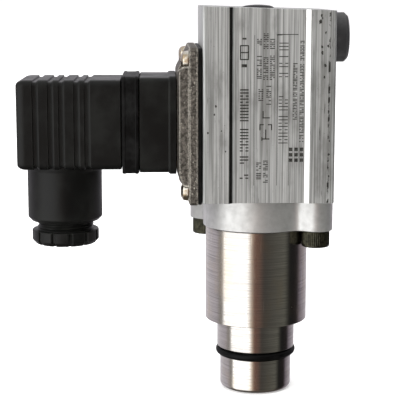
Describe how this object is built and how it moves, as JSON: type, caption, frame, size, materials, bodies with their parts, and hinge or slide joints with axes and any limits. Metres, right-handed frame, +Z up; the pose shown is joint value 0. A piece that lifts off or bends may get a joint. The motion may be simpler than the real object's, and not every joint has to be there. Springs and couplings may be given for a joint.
{
  "type": "pressure switch",
  "caption": "Plug-in hydraulic pressure switch: square housing on a stepped barrel with a sealed nose, side cover, right-angle plug connector with cable gland, top adjuster and side lock knob.",
  "frame": {"origin": "on the barrel's axis, in the plane of the barrel's shoulder, which seats on the manifold around the nose", "axes": "+Z up the barrel's axis towards the housing and its adjuster; -Y is the label face; the connector points to -X and its cable entry to -Z"},
  "size_m": [0.1005, 0.0412, 0.1192],
  "materials": {
    "extruded_aluminium": "extruded and brushed along its length, dull with pits and smudges",
    "machined_aluminium": "bright machined",
    "turned_steel": "fine turned, near polished",
    "hardened_steel": "ground",
    "cast_cover": "speckled dark casting, edges rubbed bright",
    "black_screw": "black oxide, knurled",
    "plated_screw": "zinc plated, slightly yellow",
    "spring_steel": "drawn wire",
    "brass": "plain brass",
    "black_plastic": "moulded glass-filled nylon, satin",
    "knob_plastic": "moulded, dull",
    "switch_plastic": "moulded phenolic",
    "rubber": "nitrile, matt",
    "brown_wire": "insulation",
    "black_wire": "insulation",
    "blue_wire": "insulation",
    "earth_wire": "insulation"
  },
  "bodies": {
    "case": {"housing": "extruded_aluminium", "flange": "machined_aluminium", "flange_screw_front": "black_screw", "flange_screw_back": "black_screw", "barrel": "turned_steel", "nose": "turned_steel", "nose_o_ring": "rubber", "piston_seal": "rubber", "rod_guide_bush": "brass", "pressure_spring": "spring_steel", "retaining_ring": "spring_steel", "switch_case": "switch_plastic", "switch_lid": "switch_plastic", "switch_terminal_common": "brass", "switch_terminal_no": "brass", "switch_terminal_nc": "brass", "switch_screw_front": "plated_screw", "switch_screw_back": "plated_screw", "insulating_plate": "switch_plastic", "earth_screw": "brass", "cover_gasket": "rubber", "cover_plate": "cast_cover", "cover_screw_lower_front": "plated_screw", "cover_screw_lower_back": "plated_screw", "cover_screw_upper_front": "plated_screw", "cover_screw_upper_back": "plated_screw", "connector_base": "black_plastic", "base_nut": "brass", "base_screw_lower": "plated_screw", "base_screw_upper": "plated_screw", "pin_1": "plated_screw", "pin_2": "plated_screw", "pin_3": "plated_screw", "earth_pin": "plated_screw", "wire_common": "brown_wire", "wire_no": "black_wire", "wire_nc": "blue_wire", "wire_earth": "earth_wire"},
    "piston": {"piston": "hardened_steel", "push_rod": "hardened_steel", "lower_spring_plate": "hardened_steel"},
    "button": {"switch_button": "brass"},
    "blade": {"switch_blade": "brass"},
    "spring_seat": {"upper_spring_seat": "hardened_steel"},
    "spindle": {"adjusting_spindle": "black_screw"},
    "cap": {"adjuster_cap": "knob_plastic"},
    "knob": {"lock_knob": "knob_plastic"},
    "plug": {"connector_gasket": "rubber", "connector_housing": "black_plastic", "contact_block": "switch_plastic", "contact_1": "brass", "contact_2": "brass", "contact_3": "brass", "earth_contact": "brass", "gland_grommet": "rubber"},
    "plug_screw": {"connector_screw": "plated_screw"},
    "gland_washer": {"gland_washer": "plated_screw"},
    "gland_nut": {"gland_nut": "black_plastic"}
  },
  "joints": [
    {"name": "piston_slide", "type": "slide", "parent": "case", "child": "piston", "axis": [0, 0, 1], "range_m": [0, 0.0005], "stiffness_N_per_m": 5000, "springref_m": -0.001, "deforming": ["pressure_spring"]},
    {"name": "button_slide", "type": "slide", "parent": "case", "child": "button", "axis": [0, 0, 1], "range_m": [0, 0.0006]},
    {"name": "blade_swing", "type": "hinge", "parent": "case", "child": "blade", "pos_m": [-0.0126, -0.006, 0.0549], "axis": [1, 0, 0], "range_deg": [0, 5]},
    {"name": "spring_seat_slide", "type": "slide", "parent": "case", "child": "spring_seat", "axis": [0, 0, -1], "range_m": [0, 0.0048], "deforming": ["pressure_spring"]},
    {"name": "spindle_turn", "type": "hinge", "parent": "spring_seat", "child": "spindle", "pos_m": [0, 0, 0.088], "axis": [0, 0, -1], "range_deg": [0, 1728]},
    {"name": "cap_lift", "type": "slide", "parent": "case", "child": "cap", "axis": [0, 0, 1], "range_m": [0, 0.012]},
    {"name": "lock_knob_turn", "type": "hinge", "parent": "case", "child": "knob", "pos_m": [0.0245, 0, 0.0872], "axis": [1, 0, 0], "range_deg": [0, 360]},
    {"name": "plug_pull", "type": "slide", "parent": "case", "child": "plug", "axis": [-1, 0, 0], "range_m": [0, 0.03]},
    {"name": "plug_screw_turn", "type": "hinge", "parent": "plug", "child": "plug_screw", "pos_m": [-0.07, 0, 0.0623], "axis": [-1, 0, 0], "range_deg": [0, 1800]},
    {"name": "gland_washer_slide", "type": "slide", "parent": "plug", "child": "gland_washer", "axis": [0, 0, 1], "range_m": [0, 0.0025], "deforming": ["gland_grommet"]},
    {"name": "gland_nut_turn", "type": "hinge", "parent": "gland_washer", "child": "gland_nut", "pos_m": [-0.0592, 0, 0.027], "axis": [0, 0, 1], "range_deg": [0, 600]}
  ],
  "couplings": [
    {"joint": "button_slide", "follows": "piston_slide", "ratio": 1},
    {"joint": "blade_swing", "follows": "piston_slide", "rad_per_m": 166},
    {"joint": "spindle_turn", "follows": "spring_seat_slide", "rad_per_m": 6283.2},
    {"joint": "gland_washer_slide", "follows": "gland_nut_turn", "m_per_rad": 0.00023873}
  ]
}
